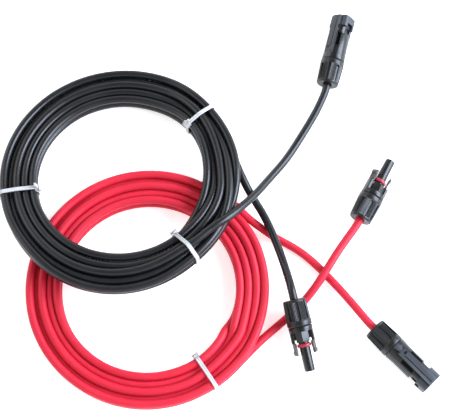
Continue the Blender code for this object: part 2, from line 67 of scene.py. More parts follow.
ORIGIN = (100.2, 7.7)
CABLE_D = 6.2
BLACK_COIL = dict(centre=(-80.0, 19.0), r_out=91.8, r_in=64.3, height=13.0)
RED_COIL = dict(centre=(-57.6, -65.0), r_out=91.5, r_in=65.5, height=13.0)
RED_COIL_Z, BLACK_COIL_Z, COIL_CLEAR = 1.6, 0.3, 0.4
CONNECTORS = {
    "black_wide": dict(kind="wide", at=(80.9, 100.4, 9.9), turn=(75.6, 1.5, -38.0), nut=5.2),
    "red_wide": dict(kind="wide", at=(110.8, -96.1, 9.8), turn=(-46.1, 0.0, 0.0), nut=17.4),
    "black_slim": dict(kind="slim", at=(51.1, -76.5, 18.1), turn=(-76.7, -15.0, 8.0), nut=13.1),
    "red_slim": dict(kind="slim", at=(103.0, -11.6, 9.6), turn=(61.8, 0.0, 28.0), nut=10.0),
}
TAILS = {
    "black_tail_upper": (
        "black_wide",
        [
            (-18.2, -34.6, 38.1), (-14.0, -30.1, 37.7), (-5.2, -23.3, 37.1), (4.5, -16.6, 35.4),
            (12.8, -7.4, 29.6), (21.2, 2.1, 23.2), (33.9, 19.9, 13.5), (47.5, 37.9, 7.0),
            (59.7, 57.8, 5.2), (71.0, 76.4, 7.4),
        ],
    ),
    "black_tail_lower": (
        "black_slim",
        [
            (15.8, 14.6, 15.0), (20.7, 5.9, 12.0), (28.3, -6.0, 11.2), (35.0, -20.6, 11.8),
            (40.9, -36.4, 11.6), (45.8, -52.6, 13.5),
        ],
    ),
    "red_tail_right": (
        "red_wide",
        [
            (22.8, -14.0, 6.8), (26.8, -16.5, 6.0), (36.0, -23.2, 4.4), (52.0, -31.6, 3.4),
            (64.0, -40.6, 3.4), (75.4, -52.4, 3.8), (93.0, -73.4, 6.4),
        ],
    ),
    "red_tail_left": (
        "red_slim",
        [
            (30.5, -101.0, 4.3), (33.6, -98.3, 3.9), (45.0, -88.6, 3.4), (56.4, -78.0, 4.0),
            (65.5, -67.9, 7.0), (76.1, -52.5, 10.3), (88.0, -33.5, 9.9),
        ],
    ),
}


def located(x, y, z):
    return Vector((x - ORIGIN[0], y - ORIGIN[1], z))


def placement(spec):
    yaw, pitch, roll = (math.radians(a) for a in spec["turn"])
    return (
        Matrix.Translation(located(*spec["at"]) * MM)
        @ Matrix.Rotation(yaw, 4, "Z")
        @ Matrix.Rotation(-pitch, 4, "Y")
        @ Matrix.Rotation(roll, 4, "X")
    )


def coil_plane():
    b, r = np.array(BLACK_COIL["centre"]), np.array(RED_COIL["centre"])
    apart = float(np.linalg.norm(b - r))
    down = (b - r) / apart
    reach = BLACK_COIL["r_out"]
    rise = RED_COIL_Z + RED_COIL["height"] + COIL_CLEAR - BLACK_COIL_Z
    touch = (RED_COIL["r_out"] ** 2 - BLACK_COIL["r_in"] ** 2 - apart**2) / (2 * apart)
    slope = rise / (reach - touch)
    return down, slope, BLACK_COIL_Z + slope * reach


def coil_matrix(which):
    if which == "red":
        x, y = RED_COIL["centre"]
        return Matrix.Translation(located(x, y, RED_COIL_Z) * MM)
    down, slope, base = coil_plane()
    x, y = BLACK_COIL["centre"]
    axis = Vector((-down[1], down[0], 0.0))
    return Matrix.Translation(located(x, y, base) * MM) @ Matrix.Rotation(math.atan(slope), 4, axis)


# ---------------------------------------------------------------- camera and light

FLOOR_POINT = Vector((-ORIGIN[0] * MM, -ORIGIN[1] * MM, 0.0))  # what the middle of the view looks at
ELEVATION = math.radians(72.0)
DISTANCE = 0.95
camera_data = bpy.data.cameras.new("camera")
camera = bpy.data.objects.new("camera", camera_data)
bpy.context.scene.collection.objects.link(camera)
camera.location = FLOOR_POINT - Vector((0.0, math.cos(ELEVATION), -math.sin(ELEVATION))) * DISTANCE
camera.rotation_euler = (math.pi / 2 - ELEVATION, 0.0, 0.0)
camera_data.sensor_width = 36.0
camera_data.lens = 98.06
camera_data.clip_start, camera_data.clip_end = 0.05, 20.0
bpy.context.scene.camera = camera


def area_light(name, place, target, size, energy, colour=(1, 1, 1)):
    data = bpy.data.lights.new(name, "AREA")
    data.shape, data.size, data.size_y = "RECTANGLE", *size
    data.energy, data.color = energy, colour
    light = bpy.data.objects.new(name, data)
    bpy.context.scene.collection.objects.link(light)
    light.location = place
    light.rotation_euler = (Vector(target) - Vector(place)).to_track_quat("-Z", "Y").to_euler()
    return light


area_light("key", (1.40, 0.05, 1.02), (-0.05, 0.0, 0.0), (1.6, 1.3), 84.0, (0.72, 0.82, 1.0))
area_light("fill", (-1.2, 0.5, 1.0), (-0.1, 0.0, 0.0), (1.4, 0.5), 5.0)
world = bpy.data.worlds.new("studio")
bpy.context.scene.world = world
world.use_nodes = True
tree = world.node_tree
# A studio tent: bright walls and a darker opening overhead.
toward = tree.nodes.new("ShaderNodeTexCoord")
parts = tree.nodes.new("ShaderNodeSeparateXYZ")
level = tree.nodes.new("ShaderNodeMapRange")
level.interpolation_type = "SMOOTHSTEP"
tree.links.new(toward.outputs["Generated"], parts.inputs["Vector"])
tree.links.new(parts.outputs["Z"], level.inputs["Value"])
for key, value in (("From Min", 0.55), ("From Max", 0.88), ("To Min", 1.2), ("To Max", 0.36)):
    level.inputs[key].default_value = value
tree.links.new(level.outputs["Result"], tree.nodes["Background"].inputs["Strength"])
tree.nodes["Background"].inputs["Color"].default_value = (1.0, 1.0, 1.0, 1.0)
bpy.context.scene.view_settings.view_transform = "Standard"

# ---------------------------------------------------------------- materials


class Nodes:
    """Short calls for a material's node tree."""

    def __init__(self, name):
        self.mat = bpy.data.materials.new(name)
        self.mat.use_nodes = True
        self.tree = self.mat.node_tree
        self.shader = self.tree.nodes["Principled BSDF"]
        self.coords = self.tree.nodes.new("ShaderNodeTexCoord")

    def set(self, **values):
        for key, value in values.items():
            self.shader.inputs[key.replace("_", " ")].default_value = value
        return self

    def link(self, a, b):
        self.tree.links.new(a, b)

    def node(self, kind, inputs=None, **settings):
        made = self.tree.nodes.new(kind)
        for key, value in settings.items():
            setattr(made, key, value)
        for key, value in (inputs or {}).items():
            if isinstance(value, bpy.types.NodeSocket):
                self.link(value, made.inputs[key])
            else:
                made.inputs[key].default_value = value
        return made

    def noise(self, scale, detail=3.0, rough=0.55, vector=None, stretch=None):
        source = vector or self.coords.outputs["Object"]
        if stretch:
            source = self.node("ShaderNodeMapping", {"Vector": source, "Scale": stretch}).outputs["Vector"]
        return self.node(
            "ShaderNodeTexNoise", {"Vector": source, "Scale": scale, "Detail": detail, "Roughness": rough}
        ).outputs["Fac"]

    def ramp(self, fac, stops, interpolation="LINEAR"):
        made = self.node("ShaderNodeValToRGB", {"Fac": fac})
        ramp = made.color_ramp
        ramp.interpolation = interpolation
        while len(ramp.elements) < len(stops):
            ramp.elements.new(0.5)
        for e, (at, colour) in zip(ramp.elements, stops):
            e.position = at
            e.color = (*colour, 1.0) if len(colour) == 3 else colour
        return made.outputs["Color"]

    def scale(self, fac, low, high, from_low=0.0, from_high=1.0):
        return self.node(
            "ShaderNodeMapRange",
            {"Value": fac, "From Min": from_low, "From Max": from_high, "To Min": low, "To Max": high},
        ).outputs["Result"]

    def bump(self, height, strength, distance, under=None):
        inputs = {"Height": height, "Strength": strength, "Distance": distance}
        if under is not None:
            inputs["Normal"] = under
        return self.node("ShaderNodeBump", inputs).outputs["Normal"]

    def colour(self, socket):
        self.link(socket, self.shader.inputs["Base Color"])

    def rough(self, socket):
        self.link(socket, self.shader.inputs["Roughness"])

    def normal(self, socket):
        self.link(socket, self.shader.inputs["Normal"])


def jacket(name, dark, light, roughness, gloss, soft=0.0):
    """Extruded cable jacket: fine lengthwise drawing lines, a little handling haze and faint unevenness."""
    m = Nodes(name)
    uv = m.coords.outputs["UV"]
    lines = m.noise(60.0, 2.0, 0.6, vector=uv, stretch=(0.6, 1.0, 1.0))
    haze = m.noise(38.0, 4.0, 0.6)
    fine = m.noise(900.0, 2.0, 0.5)
    m.colour(m.ramp(haze, [(0.35, dark), (0.65, light)]))
    m.rough(m.scale(haze, roughness - 0.05, roughness + 0.07, 0.3, 0.7))
    m.normal(m.bump(fine, 0.08, 0.0002, m.bump(lines, 0.05, 0.0003)))
    m.set(Specular_IOR_Level=gloss, Subsurface_Weight=soft, Subsurface_Scale=0.003)
    return m.mat


def moulded(name, dark, light, roughness, grain=0.12, edge=0.22, painted_highlight=None):
    """Injection-moulded plastic: softened edges, fine spark grain, faint flow haze and scuffs. The optional last
    argument is a colour painted as a paler highlight, with more roughness, on faces more than about 8.7 mm from the
    axis in z and on the front beyond x 49.6 mm."""
    m = Nodes(name)
    soft = m.node("ShaderNodeBevel", {"Radius": edge * MM}, samples=4).outputs["Normal"]
    haze = m.noise(210.0, 4.0, 0.6)
    spark = m.noise(3800.0, 2.0, 0.55)
    scuff = m.noise(700.0, 4.0, 0.7, stretch=(0.25, 1.0, 1.0))
    colour = m.ramp(haze, [(0.35, dark), (0.68, light)])
    rough = m.scale(scuff, roughness - 0.05, roughness + 0.09, 0.35, 0.7)
    # Painted highlight: the rail tops and the front block get a paler colour for the light they catch, and a rougher
    # finish.
    if painted_highlight:
        axes = m.node("ShaderNodeSeparateXYZ", {"Vector": m.coords.outputs["Object"]})
        height = m.node("ShaderNodeMath", {0: axes.outputs["Z"]}, operation="ABSOLUTE").outputs["Value"]
        flat = m.scale(height, 0.0, 1.0, 8.66 * MM, 8.76 * MM)
        front = m.scale(axes.outputs["X"], 0.0, 1.0, 49.4 * MM, 49.8 * MM)
        where = m.node("ShaderNodeMath", {0: flat, 1: front}, operation="MAXIMUM").outputs["Value"]
        colour = m.node("ShaderNodeMixRGB", {"Fac": where, "Color1": colour, "Color2": (*painted_highlight, 1.0)}).outputs["Color"]
        rough = m.node("ShaderNodeMath", {0: rough, 1: m.scale(where, 0.0, 0.16)}, operation="ADD").outputs["Value"]
    m.colour(colour)
    m.rough(rough)
    m.normal(m.bump(spark, grain, 0.00006, soft))
    m.set(Specular_IOR_Level=0.50)
    return m.mat


def rubber(name, dark, light, roughness):
    m = Nodes(name)
    haze = m.noise(400.0, 3.0, 0.6)
    m.colour(m.ramp(haze, [(0.35, dark), (0.65, light)]))
    m.rough(m.scale(haze, roughness - 0.05, roughness + 0.06, 0.3, 0.7))
    m.normal(m.bump(m.noise(1900.0, 3.0, 0.6), 0.15, 0.00006))
    return m.mat


def metal(name, dark, light, roughness, stretch=(0.15, 1.0, 1.0)):
    """Plated or drawn metal with fine lathe lines."""
    m = Nodes(name)
    lines = m.noise(2600.0, 3.0, 0.6, stretch=stretch)
    tint = m.noise(260.0, 4.0, 0.65)
    m.colour(m.ramp(tint, [(0.3, dark), (0.7, light)]))
    m.rough(m.scale(lines, roughness - 0.06, roughness + 0.1, 0.3, 0.7))
    m.normal(m.bump(lines, 0.1, 0.00005))
    m.set(Metallic=1.0)
    return m.mat


def nylon(name):
    """Translucent white nylon strap."""
    m = Nodes(name)
    cloud = m.noise(160.0, 3.0, 0.6)
    m.colour(m.ramp(cloud, [(0.3, (0.54, 0.55, 0.56)), (0.7, (0.64, 0.65, 0.66))]))
    m.rough(m.scale(cloud, 0.3, 0.42, 0.3, 0.7))
    m.normal(m.bump(m.noise(1500.0, 2.0, 0.5), 0.06, 0.00005))
    m.set(Transmission_Weight=0.12, IOR=1.5, Subsurface_Weight=0.25, Subsurface_Scale=0.002)
    return m.mat


BLACK_JACKET = jacket("black_jacket", (0.0068, 0.0072, 0.0082), (0.0100, 0.0105, 0.0120), 0.28, 0.42)
RED_JACKET = jacket("red_jacket", (0.58, 0.014, 0.038), (0.64, 0.018, 0.045), 0.5, 0.3, 0.45)
HOUSING_PLASTIC = moulded("housing_plastic", (0.0022, 0.0024, 0.0028), (0.0042, 0.0044, 0.0050), 0.27)
# The wide housing carries a painted highlight: a paler blue-grey on its rail tops and front block.
WIDE_PLASTIC = moulded("wide_housing_plastic", (0.0022, 0.0024, 0.0028), (0.0042, 0.0044, 0.0050), 0.27, painted_highlight=(0.036, 0.041, 0.049))
# Painted light: the arms get a paler, browner copy of the housing plastic, standing in for the light their faces catch.
PAINTED_LIGHT_ARM_PLASTIC = moulded("painted_light_arm_plastic", (0.046, 0.041, 0.037), (0.064, 0.057, 0.051), 0.45, 0.12, 0.12)
NUT_PLASTIC = moulded("nut_plastic", (0.0026, 0.0028, 0.0031), (0.0048, 0.0050, 0.0056), 0.34, 0.14, 0.12)
COLLET_PLASTIC = moulded("collet_plastic", (0.03, 0.03, 0.032), (0.045, 0.045, 0.046), 0.45, 0.1, 0.1)
SEAL_RUBBER = rubber("seal_rubber", (0.022, 0.022, 0.023), (0.036, 0.036, 0.037), 0.62)
RING_SILICONE = rubber("ring_silicone", (0.30, 0.010, 0.026), (0.40, 0.018, 0.036), 0.42)
TINNED = metal("tinned_contact", (0.70, 0.69, 0.66), (0.80, 0.79, 0.77), 0.24)
SPRING_STEEL = metal("spring_steel", (0.56, 0.56, 0.57), (0.66, 0.66, 0.67), 0.28)
COPPER = metal("copper_wire", (0.74, 0.36, 0.22), (0.88, 0.48, 0.32), 0.33, (0.08, 1.0, 1.0))
NYLON = nylon("tie_nylon")

# ---------------------------------------------------------------- cables


def smoothstep(t):
    t = np.clip(t, 0, 1)
    return t * t * (3 - 2 * t)


def spline(points, spacing):
    """Points every spacing along a natural cubic spline through the given points."""
    p = np.array(points, float)
    t = np.concatenate([[0.0], np.cumsum(np.linalg.norm(np.diff(p, axis=0), axis=1))])
    n, h = len(p), np.diff(t)
    a, b = np.zeros((n, n)), np.zeros((n, 3))
    a[0, 0] = a[-1, -1] = 1.0
    for i in range(1, n - 1):
        a[i, i - 1], a[i, i], a[i, i + 1] = h[i - 1], 2 * (h[i - 1] + h[i]), h[i]
        b[i] = 6 * ((p[i + 1] - p[i]) / h[i] - (p[i] - p[i - 1]) / h[i - 1])
    m = np.linalg.solve(a, b)
    s = np.linspace(0.0, t[-1], max(2, int(round(t[-1] / spacing)) + 1))
    i = np.clip(np.searchsorted(t, s, side="right") - 1, 0, n - 2)
    u, v = ((t[i + 1] - s) / h[i])[:, None], ((s - t[i]) / h[i])[:, None]
    bent = ((u**3 - u) * m[i] + (v**3 - v) * m[i + 1]) * (h[i] ** 2)[:, None] / 6
    return u * p[i] + v * p[i + 1] + bent


STATIONS = 144  # round one turn of a coil


def blur(x, sigma):
    """A smoothed copy of x along its length, its ends held."""
    k = int(3 * sigma)
    w = np.exp(-0.5 * (np.arange(-k, k + 1) / sigma) ** 2)
    w /= w.sum()
    out = np.empty_like(x)
    for c in range(x.shape[1]):
        ends = [2 * x[0, c] - x[k:0:-1, c], x[:, c], 2 * x[-1, c] - x[-2 : -k - 2 : -1, c]]
        out[:, c] = np.convolve(np.concatenate(ends), w, "valid")
    return out


def wind(turns, theta0, slots, shifts, r_in, r_out, z_top, pinches, seed, lift=None, iterations=420, bulge=None, ease=0.32):
    """Lays the turns of a coil, clockwise from theta0 in degrees: each pushes its neighbours to a
    cable's width away, sinks on to what is below it, bends only gently and stays between r_in and
    r_out. pinches are the ties: (azimuth, width, inner radius, height, half angle).
    Returns the azimuth, and (radius, height), at every station."""
    n = int(round(turns * STATIONS)) + 1
    phi = np.arange(n) / STATIONS
    theta = math.radians(theta0) - 2 * math.pi * phi
    rng = np.random.default_rng(seed)
    goal = np.tile(np.array(slots[0], float), (n, 1))
    for t in range(1, len(slots)):
        w = smoothstep((phi - (t - 1 + shifts[t - 1])) / ease + 0.5)[:, None]
        goal += w * (np.array(slots[t], float) - np.array(slots[t - 1], float))
    for _ in range(4):
        amp, phase, period = rng.uniform(0.25, 0.7), rng.uniform(0, 6.28), rng.uniform(0.45, 1.6)
        goal[:, 0] += amp * np.sin(2 * math.pi * phi / period + phase)
    half = CABLE_D / 2
    lo, hi, top = np.full(n, r_in + half), np.full(n, r_out - half), np.full(n, z_top - half)
    azimuth = np.degrees(theta) % 360
    for at, width, inner, height, spread in pinches:
        w = smoothstep(1.0 - np.abs((azimuth - at + 180) % 360 - 180) / spread)
        lo += w * (inner + half - lo)
        hi += w * (inner + width - half - hi)
        top += w * (height - half - top)
    if bulge is not None:
        at, amount, spread = bulge
        more = amount * smoothstep(1.0 - np.abs((azimuth - at + 180) % 360 - 180) / spread)
        goal[:, 0] += more * np.clip((goal[:, 0] - r_in) / (r_out - r_in), 0, 1)
        hi += more
    if lift is not None:
        goal[:, 1] += lift(phi)
        top += lift(phi)
    x = goal.copy()
    for it in range(iterations):
        late = it / iterations
        x += 0.02 * (1 - late) * (goal - x)
        x[:, 1] -= 0.05 * (1 - 0.6 * late)
        if it % 3 == 0:
            x += 0.35 * (blur(x, 5.0) - x)
        for _ in range(2):
            for k in range(1, int(turns) + 1):
                m = n - k * STATIONS
                if m <= 0:
                    continue
                d = x[k * STATIONS :] - x[:m]
                dist = np.maximum(np.linalg.norm(d, axis=1), 1e-6)
                step = (0.5 * np.maximum(CABLE_D * 1.01 - dist, 0.0) / dist)[:, None] * d
                x[:m] -= step
                x[k * STATIONS :] += step
            x[:, 1] = np.maximum(x[:, 1], half)
            soft = 0.25 + 0.3 * late
            x[:, 0] += soft * (np.clip(x[:, 0], lo, hi) - x[:, 0])
            x[:, 1] += soft * np.minimum(top - x[:, 1], 0)
    return theta, x


def even(points, spacing):
    """The same line with evenly spaced points."""
    p = np.array(points, float)
    t = np.concatenate([[0.0], np.cumsum(np.linalg.norm(np.diff(p, axis=0), axis=1))])
    s = np.linspace(0.0, t[-1], int(round(t[-1] / spacing)) + 1)
    return np.stack([np.interp(s, t, p[:, k]) for k in range(3)], axis=1)


def coil_points(which, theta, x):
    to_row = np.array(coil_matrix(which))
    local = np.stack([x[:, 0] * np.cos(theta), x[:, 0] * np.sin(theta), x[:, 1]], axis=1) * MM
    return (local @ to_row[:3, :3].T + to_row[:3, 3]) / MM


def tail_points(name):
    """From the coil to 17 mm inside the connector, in the row frame; the last four points lie straight along the
    connector.
    """
    connector, route = TAILS[name]
    frame_of = placement(CONNECTORS[connector])
    straight = (-7.5, 1.0, 9.0, 17.2) if connector == "black_slim" else (-3.0, 4.0, 10.5, 17.2)
    inside = [tuple(frame_of @ Vector((x * MM, 0, 0)) / MM) for x in straight]
    return [tuple(located(*p)) for p in route] + inside


SPACING = 3.1


def cable_route(which, first_tail, last_tail, theta, x):
    """One line from the first connector through the coil to the last, with the coil's ends led into the tails."""
    coil = coil_points(which, theta, x)
    first, last = tail_points(first_tail)[::-1], tail_points(last_tail)
    skip = 5
    lead_in = spline(first + [tuple(p) for p in coil[skip : skip + 16 : 3]], 1.0)
    lead_out = spline([tuple(p) for p in coil[-(skip + 16) : -skip : 3]] + last, 1.0)
    start = coil[skip + 15]
    end = coil[-(skip + 16)]
    cut_in = int(np.argmin(np.linalg.norm(lead_in - start, axis=1)))
    cut_out = int(np.argmin(np.linalg.norm(lead_out - end, axis=1)))
    line = np.concatenate([lead_in[:cut_in], coil[skip + 15 : -(skip + 16)], lead_out[cut_out:]])
    return even(line, SPACING)


def settle(lines, fixed, rounds=36):
    """Presses overlapping cables apart, in the row frame, and keeps each smooth and above the ground."""
    sizes = [len(p) for p in lines]
    x = np.concatenate(lines)
    owner = np.repeat(np.arange(len(lines)), sizes)
    index = np.arange(len(x))
    held = np.zeros(len(x), bool)
    at = 0
    for size, (a, b) in zip(sizes, fixed):
        held[at : at + a] = True
        held[at + size - b : at + size] = True
        at += size
    free = ~held
    interior = free.copy()
    for edge in np.cumsum([0] + sizes):
        interior[max(edge - 1, 0) : edge + 1] = False
    start = x.copy()
    pairs = None
    for it in range(rounds):
        if it % 6 == 0:
            tree = KDTree(len(x))
            for i, p in enumerate(x):
                tree.insert(p, i)
            tree.balance()
            found = []
            for i, p in enumerate(x):
                for _, j, _ in tree.find_range(p, CABLE_D + 1.6):
                    if j > i and (owner[i] != owner[j] or j - i > 5):
                        found.append((i, j))
            pairs = np.array(found)
        i, j = pairs[:, 0], pairs[:, 1]
        d = x[j] - x[i]
        # The distance between the two lines there, not between the two points.
        along = np.zeros_like(d)
        a, b = np.maximum(i - 1, 0), np.minimum(i + 1, len(x) - 1)
        along = x[b] - x[a]
        along /= np.maximum(np.linalg.norm(along, axis=1), 1e-6)[:, None]
        side = d - (d * along).sum(1)[:, None] * along
        near = np.abs((d * along).sum(1)) < SPACING
        dist = np.maximum(np.linalg.norm(side, axis=1), 1e-6)
        push = np.where(near, np.maximum(CABLE_D - dist, 0.0), 0.0)
        step = (0.45 * push / dist)[:, None] * side
        move, count = np.zeros_like(x), np.zeros(len(x))
        np.add.at(move, i, -step)
        np.add.at(move, j, step)
        np.add.at(count, i, push > 0)
        np.add.at(count, j, push > 0)
        move /= np.maximum(np.sqrt(count), 1.0)[:, None]
        x[free] += move[free]
        x[free, 2] = np.maximum(x[free, 2], CABLE_D / 2 + 0.2)
        if it < rounds - 4:
            smooth = x.copy()
            smooth[1:-1] = 0.5 * x[1:-1] + 0.25 * (x[:-2] + x[2:])
            x[interior] += 0.5 * (smooth[interior] - x[interior])
            # keep the gentle curve from shrinking
            x[free] += 0.02 * (start[free] - x[free])
    worst = float(push.max()) if len(push) else 0.0
    print("cables settled, deepest overlap left %.2f mm, moved at most %.1f mm" % (worst, np.linalg.norm(x - start, axis=1).max()))
    out, at = [], 0
    for size in sizes:
        out.append(x[at : at + size])
        at += size
    return out


def cable(name, line, mat, replaced):
    curve = bpy.data.curves.new(name, "CURVE")
    curve.dimensions = "3D"
    curve.bevel_depth = CABLE_D / 2 * MM
    curve.bevel_resolution = 5
    curve.use_fill_caps = True
    run = curve.splines.new("POLY")
    run.points.add(len(line) - 1)
    for point, p in zip(run.points, line):
        point.co = (*(p * MM), 1.0)
    run.use_smooth = True
    obj = bpy.data.objects.new(name, curve)
    bpy.context.scene.collection.objects.link(obj)
    curve.materials.append(mat)
    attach(obj, "leads")
    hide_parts(*replaced)
    return obj


T0, T1, T2, T3 = (67.8, 9.3), (74.6, 9.3), (81.4, 9.3), (88.2, 9.3)
B0, B1, B2, B3 = (67.8, 3.1), (74.6, 3.1), (81.4, 3.1), (88.2, 3.1)
black_theta, black_x = wind(
    8.868 + 0.03,
    -40.0,
    [(78.0, 13.5), T1, T0, B0, B1, B2, T2, T3, B3],
    [0.97, 0.96, 0.955, 0.945, 0.935, 0.925, 0.915, 0.905],
    64.3, 92.0, 14.0,
    [(40.0, 24.0, 66.5, 17.5, 34.0), (188.0, 27.5, 64.3, 14.0, 22.0), (-49.5, 26.0, 65.5, 16.5, 20.0)],
    3,
    lift=lambda p: 3.4 * smoothstep(1 - p / 0.25),
    bulge=(264.0, 3.6, 44.0),
)
# the turns lie a little looser on the near side, away from the ties
black_x[:, 0] += (
    3.3
    * smoothstep(1.0 - np.abs((np.degrees(black_theta) % 360 - 272.0 + 180) % 360 - 180) / 60.0)
    * np.clip((black_x[:, 0] - 66.0) / 24.0, 0, 1)
)
red_theta, red_x = wind(
    8.78,
    -30.0,
    [(87.8, 3.1), (81.7, 3.1), (75.6, 3.1), (69.6, 3.1), (70.2, 9.0), (75.8, 9.2), (78.8, 12.4), (81.6, 9.2), (87.4, 9.0)],
    [0.93, 0.90, 0.95, 0.88, 0.92, 0.86, 0.95, 0.90],
    66.3, 91.0, 14.2,
    [(-56.0, 24.0, 67.0, 15.0, 18.0)],
    11,
    ease=0.62,
)
black_line = cable_route("black", "black_tail_upper", "black_tail_lower", black_theta, black_x)
red_line = cable_route("red", "red_tail_left", "red_tail_right", red_theta, red_x)
black_line, red_line = settle([black_line, red_line], [(9, 9), (9, 9)])
for name, line in (("black", black_line), ("red", red_line)):
    print(name, "cable %.3f m" % (np.linalg.norm(np.diff(line, axis=0), axis=1).sum() * MM))

# ---------------------------------------------------------------- connectors, in their own frame (mm)

NUT_L, FLUTES, FLUTE_HALF, FLUTE_FLOOR = 20.0, 8, 1.0, 7.95
FLUTE_X0, FLUTE_X1, RIBS = 1.35, 15.5, 5


def finish_mesh(bm, name, mat, angle=38.0, turn=0.0):
    if turn:
        bmesh.ops.rotate(bm, cent=(0, 0, 0), matrix=Matrix.Rotation(turn, 3, "X"), verts=bm.verts[:])
    bmesh.ops.recalc_face_normals(bm, faces=bm.faces[:])
    mesh = bpy.data.meshes.new(name)
    bm.to_mesh(mesh)
    bm.free()
    if mat is not None:
        mesh.materials.append(mat)
        mesh.shade_smooth()
        mesh.set_sharp_from_angle(angle=math.radians(angle))
    return mesh


def rings(name, outline, angles, mat, radius=None, angle=38.0):
    """A ring-shaped solid about X: a closed outline of (x, r) carried round the given angles.
    radius(i, x, r, angle) gives the radius there, and angles may be a function of the outline's point."""
    bm = bmesh.new()
    grid = []
    for i, (x, r) in enumerate(outline):
        row = []
        for a in angles(i, x) if callable(angles) else angles:
            rr = radius(i, x, r, a) if radius else r
            row.append(bm.verts.new((x * MM, -rr * math.sin(a) * MM, rr * math.cos(a) * MM)))
        grid.append(row)
    n, m = len(grid), len(grid[0])
    for i in range(n):
        j = (i + 1) % n
        for k in range(m):
            l = (k + 1) % m
            bm.faces.new((grid[i][k], grid[i][l], grid[j][l], grid[j][k]))
    bmesh.ops.remove_doubles(bm, verts=bm.verts[:], dist=2e-7)
    return finish_mesh(bm, name, mat, angle)


def evenly(count):
    return [2 * math.pi * k / count for k in range(count)]


def turned(name, profile, segments=96, mat=None, angle=38.0, turn=0.0):
    """A solid of revolution about X from a closed outline of (x, r), which may touch the axis."""
    bm = bmesh.new()
    ring = [bm.verts.new((x * MM, 0.0, r * MM)) for x, r in profile]
    edges = [bm.edges.new((a, b)) for a, b in zip(ring, ring[1:] + ring[:1])]
    bmesh.ops.spin(
        bm, geom=ring + edges, cent=(0, 0, 0), axis=(1, 0, 0), angle=2 * math.pi,
        steps=segments, use_merge=True, use_duplicate=False,
    )
    bmesh.ops.remove_doubles(bm, verts=bm.verts[:], dist=2e-7)
    flat = [f for f in bm.faces if all(abs(v.co.y) < 1e-9 and abs(v.co.z) < 1e-9 for v in f.verts)]
    bmesh.ops.delete(bm, geom=flat, context="FACES")
    bmesh.ops.delete(bm, geom=[e for e in bm.edges if not e.link_faces], context="EDGES")
    return finish_mesh(bm, name, mat, angle, turn)


def rounded(x0, r0, x1, r1, fillet, steps=5):
    """The outline's corner between a face at x0 and the side, as an arc: (x0, r0 - fillet) to (x0 + fillet, r1)."""
    sign = 1 if x1 > x0 else -1
    return [
        (x0 + sign * fillet * (1 - math.sin(t)), r0 - fillet * (1 - math.cos(t)))
        for t in [math.pi / 2 * (1 - k / steps) for k in range(steps + 1)]
    ]


def slab(name, points, low, high, axis, mat=None, bevel=0.0, segments=4, only=None, angle=38.0):
    """A flat outline extruded between low and high along an axis: x (points are y, z), y (x, z) or z (x, y)."""
    bm = bmesh.new()

    def at(a, b, c):
        return {"x": (c, a, b), "y": (a, c, b), "z": (a, b, c)}[axis]

    ends = [[bm.verts.new(Vector(at(a, b, c)) * MM) for a, b in points] for c in (low, high)]
    bm.faces.new(ends[0])
    bm.faces.new(ends[1][::-1])
    for k in range(len(points)):
        l = (k + 1) % len(points)
        bm.faces.new((ends[0][l], ends[0][k], ends[1][k], ends[1][l]))
    if bevel:
        edges = [e for e in bm.edges if only is None or only(e)]
        bmesh.ops.bevel(bm, geom=edges, offset=bevel * MM, segments=segments, profile=0.5, affect="EDGES")
    return finish_mesh(bm, name, mat, angle)


def block(name, x, y, z, bevel=0.0, axis=None, segments=4):
    """A block with the edges along one axis, or all of them, rounded."""
    def along(e):
        d = (e.verts[0].co - e.verts[1].co).normalized()
        return axis is None or abs(d["xyz".index(axis)]) > 0.9

    return slab(name, [(y[0], z[0]), (y[1], z[0]), (y[1], z[1]), (y[0], z[1])], x[0], x[1], "x", None, bevel, segments, along)


def combine(name, base, steps, mat, angle=38.0):
    """base with (operation, mesh) Booleans carried out in order, as one mesh."""
    body = bpy.data.objects.new(name, base)
    bpy.context.scene.collection.objects.link(body)
    tools = []
    for i, (operation, mesh) in enumerate(steps):
        tool = bpy.data.objects.new(f"{name}_tool_{i}", mesh)
        bpy.context.scene.collection.objects.link(tool)
        tools.append(tool)
        modifier = body.modifiers.new(f"step_{i}", "BOOLEAN")
        modifier.operation, modifier.solver, modifier.object = operation, "EXACT", tool
    bpy.context.view_layer.update()
    mesh = bpy.data.meshes.new_from_object(body.evaluated_get(bpy.context.evaluated_depsgraph_get()))
    for obj in [body] + tools:
        old = obj.data
        bpy.data.objects.remove(obj, do_unlink=True)
        bpy.data.meshes.remove(old)
    mesh.name = name
    mesh.materials.clear()
    mesh.materials.append(mat)
    mesh.shade_smooth()
    mesh.set_sharp_from_angle(angle=math.radians(angle))
    return mesh


